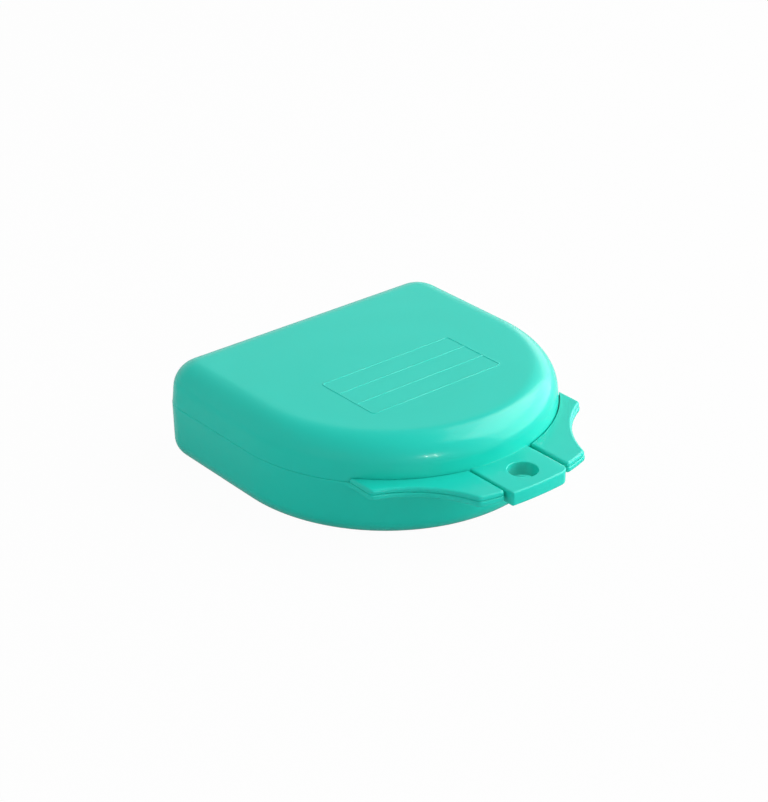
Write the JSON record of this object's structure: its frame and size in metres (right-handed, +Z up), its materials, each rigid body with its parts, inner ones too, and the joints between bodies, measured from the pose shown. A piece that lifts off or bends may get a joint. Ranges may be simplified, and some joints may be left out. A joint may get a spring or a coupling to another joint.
{
  "type": "dental appliance box",
  "caption": "Shallow D-shaped snap-shut case with a hinged lid, a front latch tab with a lanyard hole and scooped finger wings, for a dental appliance.",
  "frame": {"origin": "centre of the whole outline on the surface that the box stands on", "axes": "+X to the right seen from the front, +Y from the latch tab to the hinge, +Z up"},
  "size_m": [0.078, 0.0892, 0.023],
  "materials": {
    "mint_plastic": "glossy moulded polypropylene, mint green to turquoise"
  },
  "bodies": {
    "base": {"base_tray": "mint_plastic", "left_grip_wing": "mint_plastic", "right_grip_wing": "mint_plastic", "left_hinge_ear": "mint_plastic", "right_hinge_ear": "mint_plastic", "catch_ridge": "mint_plastic"},
    "lid": {"lid_shell": "mint_plastic", "latch_tab": "mint_plastic", "catch_bead": "mint_plastic", "hinge_barrel": "mint_plastic", "left_hinge_pin": "mint_plastic", "right_hinge_pin": "mint_plastic", "name_field": "mint_plastic"}
  },
  "joints": [
    {"name": "lid_hinge", "type": "hinge", "parent": "base", "child": "lid", "pos_m": [0, 0.04235, 0.0134], "axis": [-1, 0, 0], "range_deg": [0, 180]}
  ]
}
